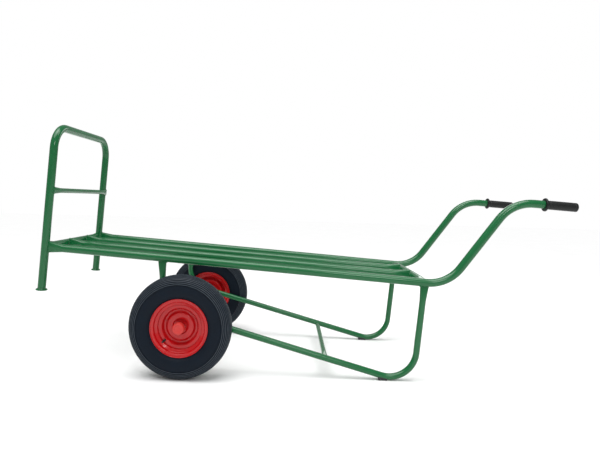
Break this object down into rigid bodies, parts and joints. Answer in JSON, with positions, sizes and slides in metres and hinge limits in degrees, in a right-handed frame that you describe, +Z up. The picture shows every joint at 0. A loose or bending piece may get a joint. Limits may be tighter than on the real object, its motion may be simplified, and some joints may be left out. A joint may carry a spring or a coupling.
{
  "type": "wheelbarrow",
  "caption": "Long flat tube-frame wheelbarrow with a front hoop, two pneumatic wheels on a fixed axle, bent handles and a rear stand.",
  "frame": {"origin": "on the floor, under the middle of the overall length and width", "axes": "+X from the hoop towards the handles, +Y to the right-hand wheel as seen by the person at the handles, +Z up"},
  "size_m": [2.132, 0.7992, 0.9893],
  "materials": {
    "green_paint": "gloss",
    "red_paint": "gloss",
    "tyre_rubber": "matt",
    "black_rubber": "satin",
    "grip_plastic": "satin",
    "red_plastic": "gloss",
    "white_nylon": "satin",
    "zinc_steel": "satin"
  },
  "bodies": {
    "frame": {"left_rail": "green_paint", "right_rail": "green_paint", "left_deck_tube": "green_paint", "right_deck_tube": "green_paint", "front_cross_tube": "green_paint", "rear_cross_tube": "green_paint", "front_hoop": "green_paint", "hoop_crossbar": "green_paint", "left_hoop_foot": "green_paint", "right_hoop_foot": "green_paint", "left_stand": "green_paint", "right_stand": "green_paint", "stand_brace": "green_paint", "axle_tube": "green_paint", "left_stand_pad": "black_rubber", "right_stand_pad": "black_rubber", "left_grip": "grip_plastic", "right_grip": "grip_plastic", "axle": "zinc_steel", "left_spacer": "zinc_steel", "left_washer": "zinc_steel", "left_circlip": "zinc_steel", "right_spacer": "zinc_steel", "right_washer": "zinc_steel", "right_circlip": "zinc_steel"},
    "left_wheel": {"left_tyre": "tyre_rubber", "left_inner_tube": "black_rubber", "left_rim": "red_paint", "left_hub": "red_paint", "left_inner_bush": "white_nylon", "left_outer_bush": "white_nylon", "left_hub_cap": "red_plastic", "left_valve": "black_rubber", "left_valve_cap": "grip_plastic"},
    "right_wheel": {"right_tyre": "tyre_rubber", "right_inner_tube": "black_rubber", "right_rim": "red_paint", "right_hub": "red_paint", "right_inner_bush": "white_nylon", "right_outer_bush": "white_nylon", "right_hub_cap": "red_plastic", "right_valve": "black_rubber", "right_valve_cap": "grip_plastic"}
  },
  "joints": [
    {"name": "left_wheel_spin", "type": "hinge", "parent": "frame", "child": "left_wheel", "pos_m": [-0.4592, -0.352, 0.2], "axis": [0, 1, 0], "continuous": true},
    {"name": "right_wheel_spin", "type": "hinge", "parent": "frame", "child": "right_wheel", "pos_m": [-0.4592, 0.352, 0.2], "axis": [0, 1, 0], "continuous": true}
  ]
}
